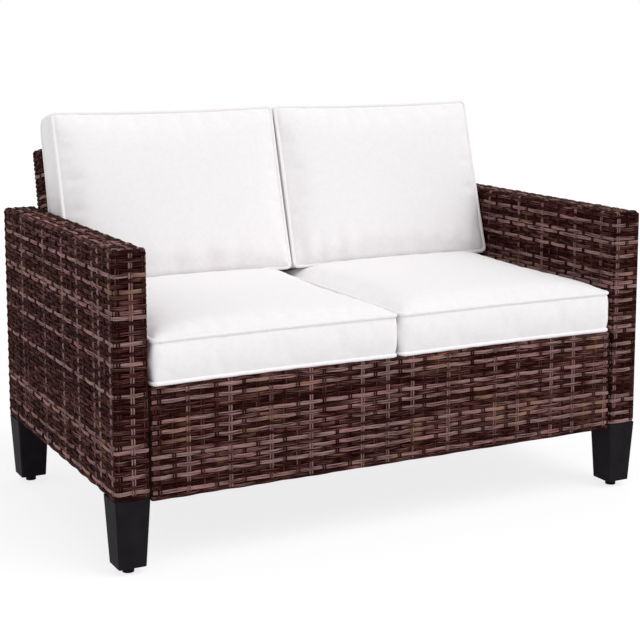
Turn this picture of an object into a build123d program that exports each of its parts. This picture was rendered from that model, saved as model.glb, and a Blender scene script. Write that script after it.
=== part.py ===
"""Two-seat patio loveseat: woven resin panels over knock-down steel frames, with loose piped cushions.

Units are millimetres. +X is the sitter's left, -Y is the front and +Z is up. The origin lies on the floor,
at the middle of the footprint. Each piece of the product is written to its own STEP file in parts/.
"""

from build123d import *
import math
import os

# Overall form
overall_width = 1120.0
arm_width = 66.0
arm_depth = 650.0
arm_top = 570.0
arm_bottom = 135.0
back_top = 679.0
back_lean = 12.7
back_set_in = 9.4
back_thickness = 61.5
deck_height = 330.0
apron_thickness = 33.0
apron_set_back = 2.0

# Woven resin skin
weave_wall = 4.0
weave_course = 48.0
course_gap = 3.0
course_depth = 1.6
arm_edge_radius = 9.0
apron_edge_radius = 6.0
underside_slot = 14.0

# Steel tube and strip
loop_tube = 18.0
seat_tube = 25.0
tube_wall = 1.2
slat_width = 30.0
slat_count = 7
upright_count = 5
lug_reach_radius = 14.0
lug_root_height = 60.0
low_lug_below_deck = 30.0
high_lug_below_arm_top = 120.0
side_bolt_from_apron = 87.0
side_bolt_from_rear_rail = 52.0
rear_bolt_from_arm = 113.5

# Legs and levelling glides
leg_set_in = 1.0
leg_foot_size = 51.0
leg_wall = 5.0
leg_floor = 12.0
leg_rib = 3.0
leg_edge_bevel = 2.5
leg_boss_radius = 11.0
leg_plate_set_in = 5.0
glide_height = 13.0
glide_pad_height = 9.0
glide_radius = 10.5
glide_collar_radius = 7.0
glide_edge_bevel = 2.0
glide_travel = 10.0

# Fasteners
bolt_radius = 3.0
bolt_head_radius = 5.8
bolt_head_height = 4.0
bolt_end_spare = 1.0
bolt_hole_radius = 3.3
washer_radius = 7.0
washer_thickness = 1.5
rivet_nut_radius = 4.5
rivet_nut_length = 13.0
rivet_flange_radius = 6.5
rivet_flange_height = 1.0
stud_radius = 4.0
stud_depth = 35.0
weld_nut_radius = 7.5
weld_nut_height = 6.5
insert_radius = 4.5
insert_length = 14.0
glide_stud_grip = 6.0
glide_stud_spare = 2.0

# Cushions
cushion_arm_gap = 4.0
cushion_centre_gap = 3.0
seat_front_gap = 1.0
seat_rear_gap = 2.0
seat_cushion_height = 81.0
seat_crown = 25.0
back_cushion_length = 348.0
back_cushion_thickness = 89.0
back_cushion_taper = 3.7
back_crown = 22.0
corner_radius = 20.0
zip_side_draw = 7.0
far_side_draw = 6.0
end_draw = 5.0
piping_radius = 3.0
cover_thickness = 1.5
cover_crown_shares = ((0.12, 0.4), (0.3, 0.76), (0.6, 1.0))
foam_crown_shares = ((0.45, 0.8),)
crown_corner_share = 0.6

# Zips
zip_end_space = 78.5
zip_tape_width = 24.0
zip_tape_thickness = 0.8
zip_coil_width = 5.0
zip_coil_height = 1.2
zip_slider_length = 12.0
zip_slider_width = 9.0
zip_slider_wall = 1.2
zip_pull_length = 22.0
zip_pull_width = 7.0

# Clearances
panel_clearance = 0.5
notch_clearance = 0.5
thread_clearance = 0.05
soft_clearance = 0.3
overrun = 5.0

# The back leans, and crosses the rear edge of the arms' tops a little in front of it
lean_sin = math.sin(math.radians(back_lean))
lean_cos = math.cos(math.radians(back_lean))
back_corner_behind_arm = (back_top - arm_top) * lean_sin / lean_cos - back_set_in
back_overhang = max(0, back_corner_behind_arm - apron_edge_radius * (lean_sin + lean_cos - 1))

# Places worked out from the driving sizes
half_width = overall_width / 2
arm_inner = half_width - arm_width
bay_half = arm_inner - panel_clearance
arm_front = -(arm_depth + back_overhang) / 2
arm_rear = arm_front + arm_depth
leg_centre_x = half_width - arm_width / 2
leg_places = {
    "front_left": (leg_centre_x, arm_front + arm_width / 2),
    "front_right": (-leg_centre_x, arm_front + arm_width / 2),
    "rear_left": (leg_centre_x, arm_rear - arm_width / 2),
    "rear_right": (-leg_centre_x, arm_rear - arm_width / 2),
}
apron_front = arm_front + apron_set_back
apron_rear = apron_front + apron_thickness
seat_tube_top = deck_height - weave_wall
seat_tube_middle = seat_tube_top - seat_tube / 2
inner_loop = (arm_inner + weave_wall, arm_inner + weave_wall + loop_tube)
outer_loop = (half_width - weave_wall - loop_tube, half_width - weave_wall)
rear_upright_middle = arm_rear - weave_wall - loop_tube / 2
leg_top_size = arm_width - 2 * leg_set_in
leg_plate_size = arm_width - 2 * leg_plate_set_in
glide_stud_length = glide_stud_grip + insert_length + glide_travel + glide_stud_spare
cushion_width = (2 * arm_inner - 2 * cushion_arm_gap - cushion_centre_gap) / 2
cushion_middle = (cushion_centre_gap + cushion_width) / 2
zip_length = cushion_width - 2 * zip_end_space
seam_bevel = piping_radius * (1 + math.sqrt(2)) + 2 * soft_clearance

# The leaning back has its own plane: X across, Y up the slope, Z out of its front face, zero at its lower edge
back_length = (back_top - arm_bottom) / lean_cos
back_corner_y = arm_rear + back_corner_behind_arm
back_front_low_y = back_corner_y - back_thickness * lean_cos - back_length * lean_sin
back_front_low_z = back_top + back_thickness * lean_sin - back_length * lean_cos
back_plane = Plane(
    origin=(0, back_front_low_y, back_front_low_z), x_dir=(1, 0, 0), z_dir=(0, -lean_cos, lean_sin)
)


def back_face_y(height):
    """Where the front face of the back lies at a height above the floor."""
    return back_front_low_y + (height - back_front_low_z) * lean_sin / lean_cos


def back_slope_place(height, out):
    """How far up the slope a point lies that stands out from the face and is at a height above the floor."""
    return (height - back_front_low_z - out * lean_sin) / lean_cos


def block(low, high):
    """A box between two opposite corners."""
    size = [top - bottom for bottom, top in zip(low, high)]
    middle = [(top + bottom) / 2 for bottom, top in zip(low, high)]
    return Pos(*middle) * Box(*size)


def fused(solids):
    """All the solids joined to one."""
    return solids[0].fuse(*solids[1:]) if len(solids) > 1 else solids[0]


def welded_tubes(bars):
    """Square tubes welded to one frame, each bar given by two opposite corners, hollow all along."""
    inside = [
        block([value + tube_wall for value in low], [value - tube_wall for value in high]) for low, high in bars
    ]
    return fused([block(low, high) for low, high in bars]) - fused(inside)


def rod(radius, start, end, place):
    """A round bar along the Z axis of a place, from one height to another."""
    return place * Pos(0, 0, (start + end) / 2) * Cylinder(radius, end - start)


def facing(point, direction):
    """A place at a point whose Z axis looks along a direction."""
    return Plane(origin=point, z_dir=direction).location


# Fasteners: each is drawn round the Z axis of its place, with the face that it bears on at zero


def hexagon(radius, start, end):
    """A six-sided bar along the Z axis."""
    return Pos(0, 0, start) * extrude(RegularPolygon(radius, 6), end - start)


def hex_bolt(length, place):
    """A hexagon-head bolt, its shank below zero."""
    head = hexagon(bolt_head_radius, 0, bolt_head_height)
    return place * (head + rod(bolt_radius, -length, 0, Pos(0, 0, 0)))


def washer(place):
    """A flat washer standing on zero."""
    return rod(washer_radius, 0, washer_thickness, place) - rod(bolt_hole_radius, 0, washer_thickness, place)


def rivet_nut(place):
    """A threaded six-sided rivet nut: flange on the tube's face, body inside the tube."""
    body = hexagon(rivet_nut_radius, -rivet_nut_length, 0) + hexagon(rivet_flange_radius, 0, rivet_flange_height)
    return place * body - rod(bolt_radius + thread_clearance, -rivet_nut_length, rivet_flange_height, place)


def rivet_nut_hole(place):
    """The hole that a rivet nut takes in one wall of its tube."""
    return place * hexagon(rivet_nut_radius + thread_clearance, -tube_wall - thread_clearance, overrun)


def flange_hole(place):
    """The hole in the woven skin that lets the rivet nut's flange through."""
    return place * hexagon(rivet_flange_radius + notch_clearance, -weave_wall, overrun)


rear_rail_front = panel_clearance + seat_tube
rear_rail_front_y = back_face_y(seat_tube_middle) - rear_rail_front / lean_cos
side_bolt_places = (apron_rear + side_bolt_from_apron, rear_rail_front_y - side_bolt_from_rear_rail)
rear_bolt_places = (rear_bolt_from_arm - bay_half, 0, bay_half - rear_bolt_from_arm)
lug_heights = (deck_height - low_lug_below_deck, arm_top - high_lug_below_arm_top)
nut_reach = panel_clearance + weave_wall + rivet_nut_length + bolt_end_spare
rail_bolt_length = washer_thickness + seat_tube + nut_reach
lug_bolt_length = washer_thickness + weave_wall + nut_reach
side_rail_inner = bay_half - seat_tube
toward_middle = (-1, 0, 0)
side_rail_bolt_spots = [
    facing((side_rail_inner, place, seat_tube_middle), toward_middle) for place in side_bolt_places
]
lug_bolt_spots = [
    facing((bay_half - weave_wall, rear_upright_middle, height), toward_middle) for height in lug_heights
]
arm_nut_spots = [
    facing((inner_loop[0], place, seat_tube_middle), toward_middle) for place in side_bolt_places
] + [facing((inner_loop[0], rear_upright_middle, height), toward_middle) for height in lug_heights]


def both_sides(solids):
    """The solids of the left side with their mirror images."""
    return Compound([*solids, *(mirror(solid, Plane.YZ) for solid in solids)])


# The weave shows in the skins as courses of about five rows of cane, with a shallow gap after each course


def course_gaps(low, high, axis, core):
    """The gaps between the courses of a panel, cut from outside down to its core, evenly along one axis."""
    count = round((high[axis] - low[axis]) / weave_course)
    slabs = []
    for step in range(1, count):
        level = low[axis] + (high[axis] - low[axis]) * step / count
        start = [value - overrun for value in low]
        end = [value + overrun for value in high]
        start[axis], end[axis] = level - course_gap / 2, level + course_gap / 2
        slabs.append(block(start, end))
    return fused(slabs) - core


# Arms: two welded loops with ties between them, in a woven skin


def loop_bars(across, front, rear, bottom, top, tube):
    """The four bars of one upright rectangle of tube."""
    low, high = across
    return [
        ((low, front, bottom), (high, front + tube, top)),
        ((low, rear - tube, bottom), (high, rear, top)),
        ((low, front, bottom), (high, rear, bottom + tube)),
        ((low, front, top - tube), (high, rear, top)),
    ]


def upright_places(last):
    """Where a row of uprights stands, evenly from the first to the last."""
    return [last * (2 * index / (upright_count - 1) - 1) for index in range(upright_count)]


def arm_frame():
    """Left arm frame: twin loops, mid uprights, the rail that the seat bolts to, ties, leg plates, weld nuts."""
    front, rear = arm_front + weave_wall, arm_rear - weave_wall
    bottom, top = arm_bottom + weave_wall, arm_top - weave_wall
    middle = (front + rear) / 2
    bars = []
    for across in (inner_loop, outer_loop):
        bars += loop_bars(across, front, rear, bottom, top, loop_tube)
        bars.append(((across[0], middle - loop_tube / 2, bottom), (across[1], middle + loop_tube / 2, top)))
    rail_low = seat_tube_middle - loop_tube / 2
    bars.append(((inner_loop[0], front, rail_low), (inner_loop[1], rear, rail_low + loop_tube)))
    for start in (front, middle - loop_tube / 2, rear - loop_tube):
        for height in (bottom, top - loop_tube):
            bars.append(
                ((inner_loop[1], start, height), (outer_loop[0], start + loop_tube, height + loop_tube))
            )
    frame = welded_tubes(bars)
    half_plate = leg_plate_size / 2
    for name in ("front_left", "rear_left"):
        x, y = leg_places[name]
        plate = block((x - half_plate, y - half_plate, arm_bottom), (x + half_plate, y + half_plate, bottom))
        nut = Pos(x, y, bottom) * extrude(RegularPolygon(weld_nut_radius, 6), weld_nut_height)
        well = block(
            (x - weld_nut_radius, y - weld_nut_radius, bottom),
            (x + weld_nut_radius, y + weld_nut_radius, top - loop_tube),
        )
        frame = frame - well + plate + nut
        frame -= rod(stud_radius + thread_clearance, 0, weld_nut_height + weave_wall, Pos(x, y, arm_bottom))
    return frame - fused([rivet_nut_hole(spot) for spot in arm_nut_spots])


def arm_wicker():
    """Left arm skin: woven all round, open along a slot underneath and over the leg plates."""
    low = (arm_inner, arm_front, arm_bottom)
    high = (half_width, arm_rear, arm_top)
    body = block(low, high)
    body = fillet(body.edges().filter_by(Axis.Z) + body.edges().group_by(Axis.Z)[-1], arm_edge_radius)
    body -= block([value + weave_wall for value in low], [value - weave_wall for value in high])
    core = block([value + course_depth for value in low], [value - course_depth for value in high])
    body -= course_gaps(low, high, 2, core)
    half_plate = leg_plate_size / 2 + notch_clearance
    for name in ("front_left", "rear_left"):
        x, y = leg_places[name]
        body -= block(
            (x - half_plate, y - half_plate, arm_bottom - overrun),
            (x + half_plate, y + half_plate, arm_bottom + weave_wall),
        )
    slot_start = arm_front + arm_width + weave_wall
    body -= block(
        (leg_centre_x - underside_slot / 2, slot_start, arm_bottom - overrun),
        (leg_centre_x + underside_slot / 2, arm_rear - arm_width - weave_wall, arm_bottom + weave_wall),
    )
    return body - fused([flange_hole(spot) for spot in arm_nut_spots])


# Seat: a ladder frame in a woven apron, two side rails, a rear rail, a centre bearer and slats


def apron_frame():
    """Welded ladder of tube behind the apron, whose top rail is the front of the seat."""
    front, rear = apron_front + weave_wall, apron_rear - weave_wall
    bottom = arm_bottom + weave_wall
    bars = [
        ((-bay_half, front, seat_tube_top - seat_tube), (bay_half, rear, seat_tube_top)),
        ((-bay_half, front, bottom), (bay_half, rear, bottom + seat_tube)),
    ]
    half = seat_tube / 2
    for middle in upright_places(bay_half - half):
        bars.append(((middle - half, front, bottom), (middle + half, rear, seat_tube_top)))
    return welded_tubes(bars)


def apron_wicker():
    """Woven apron wrapped round the ladder, notched at the back where the three rails run into it."""
    low = (-bay_half, apron_front, arm_bottom)
    high = (bay_half, apron_rear, deck_height)
    section = block(low, high)
    section = fillet(section.edges().filter_by(Axis.X), apron_edge_radius)
    core = block(
        (-overall_width, apron_front + course_depth, arm_bottom), (overall_width, apron_rear + overall_width, deck_height)
    )
    section -= course_gaps(low, high, 2, core)
    section -= block(
        (-bay_half - overrun, apron_front + weave_wall, arm_bottom + weave_wall),
        (bay_half + overrun, apron_rear - weave_wall, deck_height - weave_wall),
    )
    half = seat_tube / 2 + notch_clearance
    for middle in (seat_tube / 2 - bay_half, 0, bay_half - seat_tube / 2):
        section -= block(
            (middle - half, apron_rear - weave_wall, seat_tube_middle - half),
            (middle + half, apron_rear + overrun, seat_tube_top),
        )
    return section


rear_rail_middle = back_slope_place(seat_tube_middle, panel_clearance + seat_tube / 2)
behind_rear_rail = back_plane.location * block(
    (-overall_width, -back_length, -overall_width), (overall_width, back_length, rear_rail_front)
)
rear_rail_bolt_spots = [
    back_plane.location * Pos(place, rear_rail_middle, rear_rail_front) for place in rear_bolt_places
]
back_nut_spots = [back_plane.location * Pos(place, rear_rail_middle, -weave_wall) for place in rear_bolt_places]


def seat_rail(middle, end_wall=tube_wall):
    """A tube from the apron's top rail back to the leaning rear rail."""
    half = seat_tube / 2
    start = apron_rear - weave_wall
    outside = block((middle - half, start, seat_tube_middle - half), (middle + half, arm_rear, seat_tube_top))
    inside = block(
        (middle - half + tube_wall, start + end_wall, seat_tube_middle - half + tube_wall),
        (middle + half - tube_wall, arm_rear, seat_tube_top - tube_wall),
    )
    return outside - inside - behind_rear_rail


def side_rail():
    """Left side rail, drilled for the bolts that hold it to the arm."""
    rail = seat_rail(bay_half - seat_tube / 2)
    return rail - fused([rod(bolt_hole_radius, -seat_tube - overrun, overrun, spot) for spot in side_rail_bolt_spots])


def rear_rail():
    """Tube set at the lean of the back, drilled for the bolts into the back frame."""
    half = seat_tube / 2
    outside = block(
        (-bay_half, rear_rail_middle - half, panel_clearance), (bay_half, rear_rail_middle + half, rear_rail_front)
    )
    inside = block(
        (-bay_half - overrun, rear_rail_middle - half + tube_wall, panel_clearance + tube_wall),
        (bay_half + overrun, rear_rail_middle + half - tube_wall, rear_rail_front - tube_wall),
    )
    rail = back_plane.location * (outside - inside)
    return rail - fused([rod(bolt_hole_radius, -seat_tube - overrun, overrun, spot) for spot in rear_rail_bolt_spots])


def seat_slats():
    """Flat strips across the side rails and the centre bearer, level with the top of the apron."""
    first = apron_rear + slat_width / 2
    last = back_face_y(seat_tube_top) - rear_rail_front / lean_cos - slat_width / 2
    pitch = (last - first) / (slat_count - 0.5)
    slats = []
    for index in range(slat_count):
        middle = first + pitch * (index + 0.5)
        slats.append(
            block(
                (-bay_half, middle - slat_width / 2, seat_tube_top),
                (bay_half, middle + slat_width / 2, seat_tube_top + weave_wall),
            )
        )
    return Compound(slats)


# Back: twin welded loops in a woven skin, with two lugs at each end that bolt to the arms from behind


def back_lug(height, spare=0):
    """Left lug plate: a gusset that grows out of the end upright to a round eye at its bolt."""
    rear_face = back_face_y(height) + (back_thickness - weave_wall) / lean_cos
    root = lug_root_height / 2 + spare
    corners = [
        (rear_face - loop_tube - spare, height - root),
        (rear_face, height - root),
        (rear_face, height + root),
        (rear_face - loop_tube - spare, height + root),
    ]
    leaning = [(y + (z - height) * lean_sin / lean_cos, z) for y, z in corners]
    eye = Pos(rear_upright_middle, height) * Circle(lug_reach_radius + spare)
    outline = Polyline(*leaning, close=True).edges() + eye.edges()
    gusset = extrude(Plane.YZ * make_hull(outline), weave_wall + 2 * spare)
    return Pos(bay_half - weave_wall - spare, 0, 0) * gusset


def back_lugs():
    """The left pair of lugs, drilled for their bolts."""
    holes = fused([rod(bolt_hole_radius, -weave_wall - overrun, overrun, spot) for spot in lug_bolt_spots])
    return [(back_lug(height) - holes).solid() for height in lug_heights]


def back_frame():
    """Twin loops with mid uprights, ties, and the rail that the seat bolts to."""
    bottom, top = weave_wall, back_length - weave_wall
    end = bay_half - weave_wall
    layers = (
        (-weave_wall - loop_tube, -weave_wall),
        (weave_wall - back_thickness, weave_wall - back_thickness + loop_tube),
    )
    half = loop_tube / 2
    bars = []
    for back, front in layers:
        for middle in upright_places(end - half):
            bars.append(((middle - half, bottom, back), (middle + half, top, front)))
        bars.append(((-end, bottom, back), (end, bottom + loop_tube, front)))
        bars.append(((-end, top - loop_tube, back), (end, top, front)))
    fixing_back, fixing_front = layers[0]
    bars.append(
        ((-end, rear_rail_middle - half, fixing_back), (end, rear_rail_middle + half, fixing_front))
    )
    for middle in (half - end, 0, end - half):
        for start in (bottom, top - loop_tube):
            bars.append(
                ((middle - half, start, layers[1][1]), (middle + half, start + loop_tube, fixing_back))
            )
    frame = back_plane.location * welded_tubes(bars)
    return frame - fused([rivet_nut_hole(spot) for spot in back_nut_spots])


def back_wicker():
    """Woven skin of the back, notched at its ends for the lugs."""
    low = (-bay_half, 0, -back_thickness)
    high = (bay_half, back_length, 0)
    body = block(low, high)
    body = fillet(body.edges().filter_by(Axis.X) + body.edges().group_by(Axis.Y)[-1], apron_edge_radius)
    body -= block([value + weave_wall for value in low], [value - weave_wall for value in high])
    core = block(
        (-overall_width, 0, course_depth - back_thickness), (overall_width, back_length, -course_depth)
    )
    body -= course_gaps(low, high, 1, core)
    body = back_plane.location * body
    body -= fused([flange_hole(spot) for spot in back_nut_spots])
    notches = fused([back_lug(height, notch_clearance) for height in lug_heights])
    return body - notches - mirror(notches, Plane.YZ)


# Legs: hollow moulded pegs with a stud in the top and a levelling glide below


def leg(place):
    """Square tapered leg: thin walls round a middle boss with four ribs, closed at the foot."""
    height = arm_bottom - glide_height

    def square(size, level):
        face = Rectangle(size, size)
        return Pos(0, 0, level) * chamfer(face.vertices(), leg_edge_bevel)

    def peg(inset, low):
        low_size = leg_foot_size + (leg_top_size - leg_foot_size) * low / height
        return loft([square(low_size - 2 * inset, low), square(leg_top_size - 2 * inset, height)])

    shell = peg(0, 0) - peg(leg_wall, leg_floor)
    span = leg_top_size - leg_wall
    ribs = block((-span / 2, -leg_rib / 2, leg_floor), (span / 2, leg_rib / 2, height)) + block(
        (-leg_rib / 2, -span / 2, leg_floor), (leg_rib / 2, span / 2, height)
    )
    boss = rod(leg_boss_radius, 0, height, Pos(0, 0, 0))
    solid = shell + ((boss + ribs) & peg(leg_wall / 2, 0))
    solid -= rod(stud_radius + thread_clearance, height - stud_depth, height, Pos(0, 0, 0))
    solid -= hexagon(insert_radius + thread_clearance, 0, insert_length)
    bore_top = glide_stud_length + thread_clearance
    solid -= rod(bolt_hole_radius, 0, bore_top, Pos(0, 0, 0))
    return place * Pos(0, 0, glide_height) * solid


def leg_stud(place):
    """Stud moulded into the leg's top, which screws into the weld nut of the arm frame."""
    top = arm_bottom + weave_wall + weld_nut_height
    return rod(stud_radius, arm_bottom - stud_depth, top, place)


def leg_insert(place):
    """Threaded insert in the foot of the leg."""
    top = glide_height + insert_length
    return place * hexagon(insert_radius, glide_height, top) - rod(
        bolt_radius + thread_clearance, glide_height, top, place
    )


def glide(place):
    """Moulded levelling glide: a round pad and a six-sided collar, for the spanner, that seats at the foot."""
    pad = Pos(0, 0, glide_pad_height / 2) * Cylinder(glide_radius, glide_pad_height)
    pad = chamfer(pad.edges().group_by(Axis.Z)[-1], glide_edge_bevel)
    collar = hexagon(glide_collar_radius, glide_pad_height, glide_height)
    grip = rod(
        bolt_radius + thread_clearance, glide_height - glide_stud_grip, glide_height, Pos(0, 0, 0)
    )
    return place * (pad + collar - grip)


def glide_stud(place):
    """Steel stud that carries the glide and turns in the foot's insert."""
    start = glide_height - glide_stud_grip
    return rod(bolt_radius, start, start + glide_stud_length, place)


# Cushions: drawn round a local frame with the flat face at zero, the crown up and the zip on the -Y side


def drawn_outline(width, length, corner, draws, straight):
    """Closed smooth outline whose sides pull in between round corners; the zip side is straight in its middle."""
    zip_draw, far_draw, side_draw = draws
    corner_x, corner_y = width / 2 - corner, length / 2 - corner
    zip_turn = 2 * math.atan(zip_draw / (corner_x - straight / 2))
    far_turn = 2 * math.atan(far_draw / corner_x)
    side_turn = 2 * math.atan(side_draw / corner_y)

    def on_corner(side_y, heading):
        return corner_x + corner * math.sin(heading), side_y * corner_y - corner * math.cos(heading)

    quarter = math.pi / 2
    low = [on_corner(-1, heading) for heading in (-zip_turn, (quarter + side_turn - zip_turn) / 2, quarter + side_turn)]
    high = [
        on_corner(1, heading)
        for heading in (quarter - side_turn, (3 * quarter + far_turn - side_turn) / 2, 2 * quarter + far_turn)
    ]
    zip_run = low[0][0] - straight / 2
    zip_swing = zip_run / math.sin(zip_turn)
    zip_y = low[0][1] + zip_run * math.tan(zip_turn / 2)
    zip_middle = (
        straight / 2 + zip_swing * math.sin(zip_turn / 2),
        zip_y - zip_swing * (1 - math.cos(zip_turn / 2)),
    )
    side_x = low[2][0] - high[0][1] * math.tan(side_turn / 2)
    far_y = high[2][1] - high[2][0] * math.tan(far_turn / 2)

    def flip(point):
        return -point[0], point[1]

    edges = [
        Line(flip((straight / 2, zip_y)), (straight / 2, zip_y)),
        ThreePointArc((straight / 2, zip_y), zip_middle, low[0]),
        ThreePointArc(*low),
        ThreePointArc(low[2], (side_x, 0), high[0]),
        ThreePointArc(*high),
        ThreePointArc(high[2], (0, far_y), flip(high[2])),
        ThreePointArc(flip(high[2]), flip(high[1]), flip(high[0])),
        ThreePointArc(flip(high[0]), (-side_x, 0), flip(low[2])),
        ThreePointArc(flip(low[2]), flip(low[1]), flip(low[0])),
        ThreePointArc(flip(low[0]), flip(zip_middle), flip((straight / 2, zip_y))),
    ]
    return Wire(edges), zip_y


class Cushion:
    """One boxed cushion with a piped seam round both faces."""

    def __init__(self, width, length, height, crown, taper, zip_level):
        self.width = width - 2 * piping_radius
        self.length = length - 2 * piping_radius
        self.height = height
        self.crown = crown
        self.taper = taper
        self.zip_level = zip_level
        self.draws = (zip_side_draw, far_side_draw, end_draw)

    def crown_rise(self, inset):
        """How far the crown has risen at a distance in from the seam."""
        share = inset / (min(self.width, self.length) / 2 - seam_bevel)
        steps = [(0, 0), *cover_crown_shares]
        for (low, low_rise), (high, high_rise) in zip(steps, steps[1:]):
            if share < high:
                return self.crown * (low_rise + (high_rise - low_rise) * (share - low) / (high - low))
        return self.crown

    def section(self, level, inset, crown_inset=0):
        """The outline at one level, drawn in by an inset, rounder and less pulled in up the crown, and tilted."""
        reach = min(self.width, self.length) / 2 - inset
        rise_share = crown_inset / reach
        corner = corner_radius + (crown_corner_share * (reach - crown_inset) - corner_radius) * rise_share
        inset += crown_inset
        straight_share = (self.width / 2 - inset - corner) / (self.width / 2 - corner_radius)
        wire, _ = drawn_outline(
            self.width - 2 * inset,
            self.length - 2 * inset,
            corner,
            [draw * (1 - rise_share) ** 2 for draw in self.draws],
            zip_length * straight_share * (1 - rise_share),
        )
        return Pos(0, 0, level) * Rot(-self.taper * level / self.height, 0, 0) * wire

    def form(self, skin, crown_shares):
        """The filled form, smaller all round by a skin, with its crown in steps of inset and rise."""
        low, high = skin, self.height - skin
        seam = seam_bevel + skin / 2
        reach = min(self.width, self.length) / 2 - seam
        sections = [
            self.section(low, seam),
            self.section(seam, skin),
            self.section(self.height - seam, skin),
            self.section(high, seam),
        ]
        for inset_share, rise_share in crown_shares:
            sections.append(self.section(high + self.crown * rise_share, seam, reach * inset_share))
        return Solid.make_loft(sections, ruled=True)

    def cover(self):
        """Sewn cover: a thin shell of the whole form."""
        return self.form(0, cover_crown_shares) - self.form(cover_thickness, foam_crown_shares)

    def foam(self):
        """Foam block that fills the cover."""
        return self.form(cover_thickness + soft_clearance, foam_crown_shares)

    def piping(self):
        """The two piped seams, one round each face."""
        loops = []
        for level in (piping_radius, self.height - piping_radius):
            path = self.section(level, 0)
            start = Plane(origin=path @ 0, z_dir=path % 0)
            loops.append(sweep(start * RegularPolygon(piping_radius, 6), path=path))
        return Compound([loop.solid() for loop in loops])

    def zip_face(self):
        """Where the boxing lies at the zip."""
        _, zip_y = drawn_outline(self.width, self.length, corner_radius, self.draws, zip_length)
        return zip_y

    def zip_tape(self):
        """Zip tape with its raised coil along the middle."""
        face = self.zip_face()
        level = self.zip_level
        tape_face = face - zip_tape_thickness
        tape = block(
            (-zip_length / 2, tape_face, level - zip_tape_width / 2), (zip_length / 2, face, level + zip_tape_width / 2)
        )
        coil = block(
            (-zip_length / 2, tape_face - zip_coil_height, level - zip_coil_width / 2),
            (zip_length / 2, tape_face, level + zip_coil_width / 2),
        )
        return tape + coil

    def zip_slider(self):
        """Slider that straddles the coil, with its pull lying along the tape."""
        inner = self.zip_face() - zip_tape_thickness - soft_clearance
        groove = inner - zip_coil_height
        outer = groove - zip_slider_wall
        level = self.zip_level
        end = zip_length / 2
        body = block(
            (end - zip_slider_length, outer, level - zip_slider_width / 2), (end, inner, level + zip_slider_width / 2)
        )
        body = chamfer(body.edges().filter_by(Axis.Y), zip_slider_wall)
        half_groove = zip_coil_width / 2 + soft_clearance
        body -= block(
            (end - zip_slider_length - overrun, groove, level - half_groove), (end + overrun, inner, level + half_groove)
        )
        pull_end = end - zip_slider_length / 2
        pull = block(
            (pull_end - zip_pull_length, outer - zip_slider_wall, level - zip_pull_width / 2),
            (pull_end, outer, level + zip_pull_width / 2),
        )
        pull = chamfer(pull.edges().filter_by(Axis.Y), zip_pull_width / 3)
        return body + pull


seat_cushion_front = arm_front + seat_front_gap
seat_cushion_rear = back_face_y(deck_height) - seat_rear_gap
seat_cushion = Cushion(
    cushion_width,
    seat_cushion_rear - seat_cushion_front,
    seat_cushion_height,
    seat_crown,
    0,
    seat_cushion_height / 2,
)
seat_cushion_place = Plane(
    origin=(0, (seat_cushion_front + seat_cushion_rear) / 2, deck_height + soft_clearance),
    x_dir=(-1, 0, 0),
    z_dir=(0, 0, 1),
).location
back_cushion = Cushion(
    cushion_width,
    back_cushion_length,
    back_cushion_thickness,
    back_crown,
    back_cushion_taper,
    seam_bevel + zip_tape_width / 2 + soft_clearance,
)

# The back cushion is perched on the crown of the seat cushion, on the lower edge of its front face
seat_top = deck_height + seat_cushion_height
perch_out = back_cushion_thickness + back_cushion_length / 2 * math.sin(math.radians(back_cushion_taper))
perch_y = back_face_y(seat_top) - perch_out * lean_cos
perch_inset = seat_cushion_rear - perch_y - piping_radius - seam_bevel
perch_height = seat_top + seat_cushion.crown_rise(perch_inset) + 2 * soft_clearance
back_cushion_start = back_slope_place(perch_height, perch_out)
back_cushion_place = back_plane.location * Pos(0, back_cushion_start + back_cushion_length / 2, soft_clearance)


def write(name, shape):
    """Writes one piece to its STEP file."""
    export_step(shape, os.path.join("parts", f"{name}.step"))


def write_pair(name, shape):
    """Writes a piece of the left side and its mirror image for the right side."""
    write(f"left_{name}", shape)
    write(f"right_{name}", mirror(shape, Plane.YZ))


os.makedirs("parts", exist_ok=True)

write_pair("arm_frame", arm_frame())
write_pair("arm_wicker", arm_wicker())
write("apron_frame", apron_frame())
write("apron_wicker", apron_wicker())
write_pair("side_rail", side_rail())
write("rear_rail", rear_rail())
write("centre_bearer", seat_rail(0))
write("seat_slats", seat_slats())
write("back_frame", back_frame())
write("back_lugs", both_sides(back_lugs()))
write("back_wicker", back_wicker())

for corner, (place_x, place_y) in leg_places.items():
    write(f"{corner}_leg", leg(Pos(place_x, place_y, 0)))
    write(f"{corner}_glide", glide(Pos(place_x, place_y, 0)))
    write(f"{corner}_glide_stud", glide_stud(Pos(place_x, place_y, 0)))
leg_spots = [Pos(place_x, place_y, 0) for place_x, place_y in leg_places.values()]
write("leg_studs", Compound([leg_stud(spot) for spot in leg_spots]))
write("leg_inserts", Compound([leg_insert(spot) for spot in leg_spots]))

lift_washer = Pos(0, 0, washer_thickness)
write("seat_to_arm_washers", both_sides([washer(spot) for spot in side_rail_bolt_spots]))
write(
    "seat_to_arm_bolts",
    both_sides([hex_bolt(rail_bolt_length, spot * lift_washer) for spot in side_rail_bolt_spots]),
)
write("back_to_arm_washers", both_sides([washer(spot) for spot in lug_bolt_spots]))
write(
    "back_to_arm_bolts",
    both_sides([hex_bolt(lug_bolt_length, spot * lift_washer) for spot in lug_bolt_spots]),
)
write("seat_to_back_washers", Compound([washer(spot) for spot in rear_rail_bolt_spots]))
write(
    "seat_to_back_bolts",
    Compound([hex_bolt(rail_bolt_length, spot * lift_washer) for spot in rear_rail_bolt_spots]),
)
write("arm_rivet_nuts", both_sides([rivet_nut(spot) for spot in arm_nut_spots]))
write("back_rivet_nuts", Compound([rivet_nut(spot) for spot in back_nut_spots]))

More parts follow.
